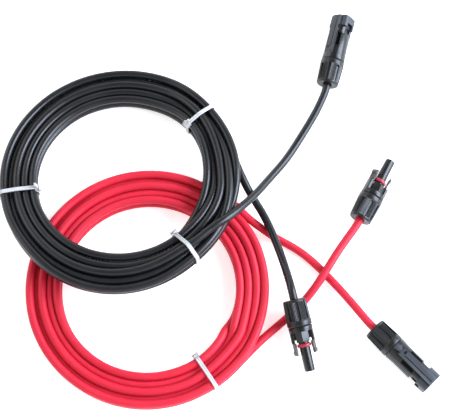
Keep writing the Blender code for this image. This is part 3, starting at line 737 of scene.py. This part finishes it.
def nut_mesh():
    """The gland nut: eight round-ended flutes with fine grip ribs between them, a plain front band and a
    rounded rear edge, hollow inside with a threaded chamber."""
    rear, front = 8.6, 9.3
    outer = [(0.0, rear - 1.1), (0.05, rear - 0.8), (0.25, rear - 0.45), (0.55, rear - 0.17), (0.95, rear)]
    stations = [1.3, 1.36, 1.5, 1.75, 2.05, 2.35, 2.7, 4.5, 7.0, 9.5, 12.0, 14.0, 14.5, 14.8, 15.1, 15.35, 15.49, 15.55, 16.0, 16.25]
    outer += [(x, rear + (front - rear) * (x - 0.95) / (NUT_L - 1.6)) for x in stations]
    first, last = 5, 5 + len(stations) - 1
    outer += [(16.4, 9.27), (16.55, 9.3), (19.3, 9.34), (19.7, 9.2), (19.93, 8.95), (20.0, 8.7)]
    inner = [(20.0, 8.1), (19.6, 7.78)]
    thread = [19.0 - 0.25 * k for k in range(60)]
    inner += [(x, 7.7) for x in thread]
    inner += [(3.9, 7.7), (3.0, 7.1), (1.9, 4.9), (1.9, 3.8), (1.8, 3.5), (0.9, 3.45), (0.35, 3.6), (0.1, 4.0), (0.0, 4.5)]
    outline = outer + inner
    base = math.asin(FLUTE_HALF / 8.95)
    sector = 2 * math.pi / FLUTES
    rib = [k / 30 for k in range(31)]

    def half_at(x):
        d = max(0.0, FLUTE_X0 + FLUTE_HALF - x, x - (FLUTE_X1 - FLUTE_HALF))
        if d >= FLUTE_HALF:
            return 0.0
        return math.sqrt(1.0 - (d / FLUTE_HALF) ** 2)

    def angles(i, x):
        h = half_at(x) if first <= i <= last else 1.0
        out = []
        for f in range(FLUTES):
            middle = sector * (f + 0.5)
            out += [middle + s * base * max(h, 0.02) for s in (-1.0, -0.95, -0.55, 0.0, 0.55, 0.95)]
            out += [middle + base * max(h, 0.02)]
            out += [middle + base + (sector - 2 * base) * u for u in rib[1:-1]]
        return out

    def radius(i, x, r, a):
        if i > last + 4:
            if 4.0 < x < 19.3 and 7.6 < r < 7.75:
                return 7.66 + 0.09 * abs(2 * ((x / 1.5 - a / (2 * math.pi)) % 1.0) - 1)
            return r
        t = ((a / sector) % 1.0 - 0.5) * sector
        h = half_at(x) if first <= i <= last else 0.0
        if h > 0 and abs(t) < 0.97 * base * h:
            return FLUTE_FLOOR + 0.12 * (t / base) ** 2
        u = ((abs(t) - base) / (sector / 2 - base)) / 2 if abs(t) > base else 0.0
        if first < i < last and abs(t) > base:
            fade = min(1.0, (x - 1.3) / 0.7, (16.25 - x) / 0.5)
            return r - 0.30 * fade * (0.5 + 0.5 * math.cos(2 * math.pi * RIBS * u)) * 1.0
        return r

    return rings("nut", outline, angles, NUT_PLASTIC, radius, 46.0)


def collet_mesh():
    """The clamp ring: a solid ring with six sprung fingers that close on the cable."""
    base = turned("collet", [(2.2, 3.45), (2.2, 4.5), (2.35, 4.65), (4.6, 7.1), (5.0, 7.25), (7.0, 7.25), (7.2, 7.1), (7.2, 3.45)], 72)
    steps = []
    for i in range(6):
        turn = Matrix.Rotation(2 * math.pi * (i + 0.25) / 6, 4, "X")
        slot = block("slot", (1.0, 5.3), (-0.45, 0.45), (2.0, 9.0))
        slot.transform(turn)
        steps.append(("DIFFERENCE", slot))
    return combine("collet", base, steps, COLLET_PLASTIC)


def seal_mesh():
    """The rubber gland seal, with three sealing rings round its outside."""
    top = [(8.2, 5.2), (8.5, 5.55), (9.2, 5.85), (9.8, 5.9), (10.4, 5.85), (10.8, 5.5), (11.3, 5.5), (11.7, 5.85), (12.3, 5.9), (12.9, 5.85),
           (13.3, 5.5), (13.8, 5.5), (14.2, 5.85), (15.0, 5.9), (15.9, 5.85), (16.4, 5.5)]
    return turned("seal", [(8.2, 3.45)] + top + [(16.4, 3.45)], 72, SEAL_RUBBER, 60.0)


def spigot(segments=72):
    """The housing's threaded spigot and collar, as a solid plug that the rest is joined to."""
    pitch = 1.5
    xs = [8.1 + 0.15 * k for k in range(76)]
    outline = [(7.6, 0.0001), (7.6, 6.7), (7.75, 7.0)] + [(x, 7.2) for x in xs] + [(19.6, 7.0), (20.3, 7.0), (20.3, 8.7), (20.45, 8.95), (20.75, 9.1), (24.0, 8.9), (24.0, 0.0001)]

    def radius(i, x, r, a):
        if 3 <= i < 3 + len(xs):
            fade = min(1.0, (x - 8.1) / 0.8, (19.35 - x) / 0.5)
            return 7.05 + 0.5 * max(0.0, fade) * smoothstep(abs(2 * ((x / pitch - a / (2 * math.pi)) % 1.0) - 1) * 1.5 - 0.25)
        return r

    return rings("spigot", outline, evenly(segments), None, radius)


def rear_bore(last):
    return turned("rear_bore", [(5.0, 0.0), (5.0, 6.2), (18.0, 6.2), (18.0, 3.9), (last[0], 3.9)] + last[1] + [(last[1][-1][0], 0.0)], 48)


def wide_housing_mesh():
    """The wide plug's body: a round barrel with a stepped rail above and below, windows beside it, a
    waist with the arms' notches, and a rounded front block with the mouth."""
    body = turned("barrel", [
        (22.0, 0.0), (22.0, 8.99), (26.0, 8.78), (29.0, 8.65), (42.75, 8.62), (43.05, 8.5), (43.2, 8.2), (43.2, 0.0)], 120)
    waist = slab("waist", [(-6.9, -6.9), (6.9, -6.9), (6.9, 6.9), (-6.9, 6.9)], 42.0, 50.2, "x", None, 4.4, 10,
                 lambda e: abs((e.verts[0].co - e.verts[1].co).normalized().x) > 0.9)
    ears = slab("ears", [(-8.4, -6.9), (8.4, -6.9), (8.4, 6.9), (-8.4, 6.9)], 49.5, 58.6, "x", None, 3.2, 8,
                lambda e: abs((e.verts[0].co - e.verts[1].co).normalized().x) > 0.9)
    steps = [("UNION", body), ("UNION", waist), ("UNION", ears)]
    for up in (-1, 1):
        # the rail: a ramp at its rear end, then a flat top with a lower strip along one side
        side = [(25.4, 8.2), (26.3, 8.62), (27.2, 8.95), (57.9, 8.95), (58.2, 8.75), (58.3, 8.3), (58.3, 5.0), (25.4, 5.0)]
        rail = slab("rail", [(x, up * z) for x, z in side], -3.5, 3.7, "y")
        strip = block("strip", (27.6, 57.6), sorted((up * 3.3, up * 4.3)), sorted((up * 6.0, up * 8.62)), 0.2, "x", 2)
        steps += [("UNION", rail), ("UNION", strip)]
        # narrow bars from the rail to the side walls, at each end of the windows
        for x in (30.3, 43.3):
            for side in (-1, 1):
                across = [(3.3, 8.1), (4.6, 7.25), (5.6, 6.5), (6.3, 5.8), (6.3, 4.9), (3.3, 4.9)]
                bar = slab("bar", [(side * y, up * z) for y, z in across], x, x + 0.9, "x")
                steps.append(("UNION", bar))
    steps.append(("DIFFERENCE", rear_bore((33.2, [(33.2, 3.9), (33.2, 2.3), (36.0, 2.3)]))))
    steps.append(("DIFFERENCE", turned("mouth", [(35.4, 0.0), (35.4, 4.15), (49.6, 4.15), (50.4, 5.0), (58.0, 5.0), (58.7, 5.6), (62.0, 5.6), (62.0, 0.0)], 64)))
    steps.append(("DIFFERENCE", block("front_slot", (57.8, 62.0), (-7.7, 7.7), (-3.0, 3.0))))
    for side in (-1, 1):
        steps.append(("DIFFERENCE", block("arm_slot", (45.0, 61.0), sorted((side * 5.6, side * 7.7)), (-3.0, 3.0))))
        steps.append(("DIFFERENCE", block("catch", (48.0, 52.8), sorted((side * 5.6, side * 10.0)), (-3.2, 3.2), 0.3, "y", 2)))
        for up in (-1, 1):
            y = (3.95, 6.3) if side * up > 0 else (3.75, 6.25)
            steps.append(("DIFFERENCE", block("window", (31.6, 42.7), sorted((side * y[0], side * y[1])), sorted((up * 4.4, up * 11.0)))))
            steps.append(("DIFFERENCE", block("pocket", (26.6, 30.0), sorted((side * 3.95, side * 6.0)), sorted((up * 7.7, up * 11.0)), 0.25, "z", 2)))
    for up in (-1, 1):
        steps.append(("DIFFERENCE", block("groove", (30.4, 57.2), sorted((-up * 1.2, -up * 0.6)), sorted((up * 8.4, up * 11.0)))))
        steps.append(("DIFFERENCE", block("groove_end", (28.4, 30.3), (-0.35, 2.6), sorted((up * 8.6, up * 11.0)), 0.2, "z", 2)))
    return combine("wide_housing", spigot(), steps, WIDE_PLASTIC)


def slim_housing_mesh():
    """The slim socket's body: shoulder, hexagonal neck between two cheeks, and the round nose."""
    shoulder = turned("shoulder", [(20.6, 0.0), (20.6, 9.0), (22.3, 9.0), (22.65, 8.85), (22.8, 8.5), (22.8, 0.0)], 120)
    corner = 4.9 / math.cos(math.pi / 6)
    neck = turned("neck", [(21.0, 0.0), (21.0, corner), (31.5, corner), (31.85, corner - 0.15), (32.0, corner - 0.5), (32.0, 0.0)], 6)
    nose = turned("nose", [
        (30.0, 0.0), (30.0, 3.9), (32.95, 3.9), (33.05, 3.3), (35.75, 3.3), (35.85, 3.9), (36.2, 3.95), (53.2, 3.8), (53.6, 3.7), (53.85, 3.5), (54.0, 3.2), (54.0, 0.0)], 72)
    steps = [("UNION", shoulder), ("UNION", neck), ("UNION", nose)]
    for side in (-1, 1):
        cheek = slab("cheek", [(side * 6.3, -3.3), (side * 8.35, -3.3), (side * 8.7, -2.0), (side * 8.9, 0.0), (side * 8.7, 2.0), (side * 8.35, 3.3), (side * 6.3, 3.3)],
                     22.0, 32.0, "x", None, 0.35, 2)
        steps.append(("UNION", cheek))
        steps.append(("UNION", block("foot", (22.0, 29.8), sorted((side * 4.4, side * 6.8)), (-1.6, 1.6), 0.2, "x", 2)))
    steps.append(("DIFFERENCE", rear_bore((30.0, [(30.0, 3.9), (30.0, 2.95), (57.0, 2.95)]))))
    return combine("slim_housing", spigot(), steps, HOUSING_PLASTIC)


def latch_mesh():
    """One sprung arm with a ramped barb: +y is outwards, about the middle of its root."""
    y0, y1, length = -0.55, 0.55, 8.95
    points = [
        (-0.3, -0.85), (1.8, -0.85), (2.6, y0), (length - 0.9, y0), (length - 0.35, y0 + 0.15), (length, y0 + 0.55),
        (length - 0.1, y1 + 0.3), (length - 1.2, y1 + 0.8), (length - 2.0, y1 + 0.95), (length - 2.8, y1 + 0.9),
        (length - 3.3, y1 + 0.7), (length - 3.4, y1 + 0.1), (length - 3.6, y1), (2.6, y1), (1.8, y1 + 0.25), (-0.3, y1 + 0.25),
    ]
    # the arm's paler colour is painted light
    return slab("latch", points, -2.6, 2.6, "z", PAINTED_LIGHT_ARM_PLASTIC, 0.18, 2)


def oring_mesh():
    profile = [(34.4 + 1.3 * math.cos(a), 4.45 + 0.78 * math.sin(a)) for a in evenly(20)]
    return rings("oring", profile, evenly(72), RING_SILICONE, None, 80.0)


def pin_mesh():
    return turned("pin", [
        (18.4, 1.8), (18.4, 2.4), (18.6, 2.5), (24.5, 2.5), (24.6, 3.35), (24.7, 3.4), (26.1, 3.4), (26.2, 3.3), (26.2, 2.6), (31.3, 2.6),
        (31.9, 2.0), (49.2, 2.0), (50.0, 1.85), (50.6, 1.45), (50.9, 0.8), (51.0, 0.0), (24.3, 0.0), (24.3, 1.8)], 48, TINNED)


def socket_mesh():
    base = turned("socket", [
        (18.4, 1.8), (18.4, 2.4), (18.6, 2.5), (24.5, 2.5), (24.6, 3.35), (24.7, 3.4), (26.1, 3.4), (26.2, 3.3), (26.2, 2.65), (52.6, 2.65),
        (52.9, 2.4), (52.9, 2.25), (52.4, 2.05), (32.0, 2.05), (32.0, 0.0), (24.3, 0.0), (24.3, 1.8)], 48)
    slits = [("DIFFERENCE", block("slit", (42.0, 55.0), (-0.25, 0.25), (0.0, 4.0)))]
    for turn in (2 * math.pi / 3, 4 * math.pi / 3):
        slit = block("slit", (42.0, 55.0), (-0.25, 0.25), (0.0, 4.0))
        slit.transform(Matrix.Rotation(turn, 4, "X"))
        slits.append(("DIFFERENCE", slit))
    return combine("socket", base, slits, TINNED)


def clip_mesh():
    base = turned("clip", [(26.6, 2.95), (26.6, 3.15), (29.0, 3.55), (29.4, 3.55), (29.4, 2.95)], 48)
    return combine("clip", base, [("DIFFERENCE", block("slit", (26.0, 30.0), (-0.35, 0.35), (2.0, 5.0)))], SPRING_STEEL)


def wire_mesh():
    """The stripped conductor: strands twisted together."""
    outline = [(17.6, 0.05), (17.6, 1.2)] + [(17.75 + 0.25 * k, 1.38) for k in range(25)] + [(24.0, 1.2), (24.0, 0.05)]

    def radius(i, x, r, a):
        return r + (0.09 * math.cos(12 * (a + x * 0.22)) if 2 <= i <= 26 else 0.0)

    return rings("wire", outline, evenly(144), COPPER, radius, 60.0)


def place(name, mesh, matrix, body, node, material_slot):
    obj = bpy.data.objects.new(name, mesh)
    bpy.context.scene.collection.objects.link(obj)
    obj.matrix_world = matrix
    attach(obj, body)
    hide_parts(node)
    return obj


COMMON = {"collet": collet_mesh(), "seal": seal_mesh(), "clip": clip_mesh(), "wire": wire_mesh(), "nut": nut_mesh()}
KINDS = {
    "wide": {"housing": wide_housing_mesh(), "pin": pin_mesh()},
    "slim": {"housing": slim_housing_mesh(), "socket": socket_mesh(), "oring": oring_mesh()},
}
ARM = latch_mesh()
SLOTS = {
    "housing": "housing_plastic", "nut": "nut_plastic", "collet": "collet_plastic", "seal": "seal_rubber", "clip": "spring_steel",
    "wire": "copper_wire", "pin": "tinned_contact", "socket": "tinned_contact", "oring": "ring_silicone",
}
LEAN = 20.0  # the arms lean in towards the top
for name, spec in CONNECTORS.items():
    here = placement(spec)
    for piece, mesh in {**COMMON, **KINDS[spec["kind"]]}.items():
        body = {"nut": f"{name}_gland_nut", "collet": f"{name}_clamp"}.get(piece, "leads")
        turn = Matrix.Rotation(math.radians(spec["nut"]), 4, "X") if piece == "nut" else Matrix.Identity(4)
        place(f"{name}_{piece}_made", mesh, here @ turn, body, f"{name}_{piece}", SLOTS[piece])
    if spec["kind"] == "slim":
        for side, label in ((1, "left"), (-1, "right")):
            at = Matrix.Translation(Vector((32.35, side * 6.95, 0.0)) * MM)
            if side < 0:
                at = at @ Matrix.Rotation(math.pi, 4, "X")
            at = at @ Matrix.Rotation(math.radians(LEAN * side), 4, "X")
            place(f"{name}_arm_{label}_made", ARM, here @ at, f"{name}_arm_{label}", f"{name}_latch_{label}", "housing_plastic")

# ---------------------------------------------------------------- ties

TIE_WIDTH, TIE_THICK = 3.0, 1.1
# coil, azimuth, where the head sits (degrees in the section, 0 outwards and 90 up), and how far the
# cut end reaches
TIES = {
    "black_tie_1": ("black", 38.4, 150.0, 3.0),
    "black_tie_2": ("black", 189.8, 158.0, 5.5),
    "black_tie_3": ("black", -49.5, 150.0, 7.0),
    "red_tie_1": ("red", -56.0, 160.0, 3.0),
}


def hull(points):
    """The convex hull, anticlockwise."""
    p = sorted(map(tuple, points))

    def chain(seq):
        out = []
        for q in seq:
            while len(out) > 1 and (out[-1][0] - out[-2][0]) * (q[1] - out[-2][1]) - (out[-1][1] - out[-2][1]) * (q[0] - out[-2][0]) <= 1e-9:
                out.pop()
            out.append(q)
        return out[:-1]

    return np.array(chain(p) + chain(p[::-1]))


def loop_of(which, line, azimuth, reach=3.4):
    """The tight loop round the cables crossing the coil at this azimuth, in (radius, height)."""
    to_coil = np.array((coil_matrix(which) @ Matrix.Rotation(math.radians(azimuth), 4, "Z")).inverted())
    q = (line * MM) @ to_coil[:3, :3].T + to_coil[:3, 3]
    q = q / MM
    near = (np.abs(q[:, 1]) < reach) & (q[:, 0] > 58.0) & (q[:, 0] < 98.0) & (q[:, 2] < 26.0)
    spots = q[near][:, [0, 2]]
    ring = np.array([(math.cos(a), math.sin(a)) for a in evenly(28)]) * (CABLE_D / 2 + 0.12)
    outline = hull((spots[:, None, :] + ring[None]).reshape(-1, 2))
    closed = np.vstack([outline, outline[:1]])
    t = np.concatenate([[0.0], np.cumsum(np.linalg.norm(np.diff(closed, axis=0), axis=1))])
    s = np.linspace(0.0, t[-1], 97)[:-1]
    return np.stack([np.interp(s, t, closed[:, k]) for k in (0, 1)], axis=1)


def tie_piece(name, which, azimuth, head_at, reach, line):
    """A strap round the bundle, its head and its cut end, as one closed mesh each, joined."""
    loop = loop_of(which, line, azimuth)
    n = len(loop)
    ahead = np.roll(loop, -1, axis=0) - np.roll(loop, 1, axis=0)
    ahead /= np.linalg.norm(ahead, axis=1)[:, None]
    out = np.stack([ahead[:, 1], -ahead[:, 0]], axis=1)
    half = TIE_WIDTH / 2
    section = [(-half, 0.15), (-half + 0.2, 0.0), (half - 0.2, 0.0), (half, 0.15), (half, TIE_THICK - 0.3),
               (half - 0.35, TIE_THICK), (half - 0.9, TIE_THICK), (half - 1.05, TIE_THICK - 0.22), (-half + 1.05, TIE_THICK - 0.22),
               (-half + 0.9, TIE_THICK), (-half + 0.35, TIE_THICK), (-half, TIE_THICK - 0.3)]
    bm = bmesh.new()
    grid = []
    for p, o in zip(loop, out):
        grid.append([bm.verts.new(((p[0] + o[0] * v) * MM, u * MM, (p[1] + o[1] * v) * MM)) for u, v in section])
    for i in range(n):
        j = (i + 1) % n
        for k in range(len(section)):
            l = (k + 1) % len(section)
            bm.faces.new((grid[i][k], grid[i][l], grid[j][l], grid[j][k]))
    middle = loop.mean(axis=0)
    aim = np.array((math.cos(math.radians(head_at)), math.sin(math.radians(head_at))))
    i = int(np.argmax(out @ aim + 0.01 * ((loop - middle) @ aim)))
    spot, o, a = loop[i], out[i], ahead[i]

    def brick(along, across, high, bevel, shift=0.0, lift=0.0):
        made = bmesh.ops.create_cube(bm, size=1.0)["verts"]
        for v in made:
            x, y, z = v.co
            p = spot + a * (x * along + shift) + o * (z * high + high / 2 + lift)
            v.co = Vector((p[0] * MM, y * across * MM, p[1] * MM))
        edges = list({e for v in made for e in v.link_edges})
        bmesh.ops.bevel(bm, geom=edges, offset=bevel * MM, segments=3, profile=0.5, affect="EDGES")

    brick(3.3, 4.5, 3.1, 0.55, 0.0, -0.1)
    brick(reach, 2.4, 0.9, 0.22, -(1.65 + reach / 2 - 0.4), 1.35)
    mesh = finish_mesh(bm, name, NYLON, 40.0)
    obj = bpy.data.objects.new(name + "_made", mesh)
    bpy.context.scene.collection.objects.link(obj)
    obj.matrix_world = coil_matrix(which) @ Matrix.Rotation(math.radians(azimuth), 4, "Z")
    back = obj.matrix_world.inverted()
    for v in mesh.vertices:
        w = obj.matrix_world @ v.co
        if w.z < 0.15 * MM:
            w.z = 0.15 * MM
            v.co = back @ w
    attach(obj, "leads")
    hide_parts(name)
    return obj


TIE_PIECES = {
    name: tie_piece(name, which, azimuth, head_at, reach, black_line if which == "black" else red_line)
    for name, (which, azimuth, head_at, reach) in TIES.items()
}

# ---------------------------------------------------------------- floor

floor_mesh = bpy.data.meshes.new("floor")
bm = bmesh.new()
bmesh.ops.create_grid(bm, x_segments=1, y_segments=1, size=3.0)
bm.to_mesh(floor_mesh)
bm.free()
floor = bpy.data.objects.new("floor", floor_mesh)
bpy.context.scene.collection.objects.link(floor)
paper = Nodes("floor_paper")
paper.set(Roughness=0.9, Specular_IOR_Level=0.1, Emission_Strength=0.55)
paper.shader.inputs["Emission Color"].default_value = (1.0, 1.0, 1.0, 1.0)
paper.colour(paper.ramp(paper.noise(3.0), [(0.3, (0.93, 0.93, 0.93)), (0.7, (0.945, 0.945, 0.945))]))
floor_mesh.materials.append(paper.mat)

# ---------------------------------------------------------------- cords

black_cable = cable(
    "black_cable", black_line, BLACK_JACKET,
    ["black_coil", "black_tail_upper", "black_tail_lower"],
)
red_cable = cable(
    "red_cable", red_line, RED_JACKET,
    ["red_coil", "red_tail_left", "red_tail_right"],
)
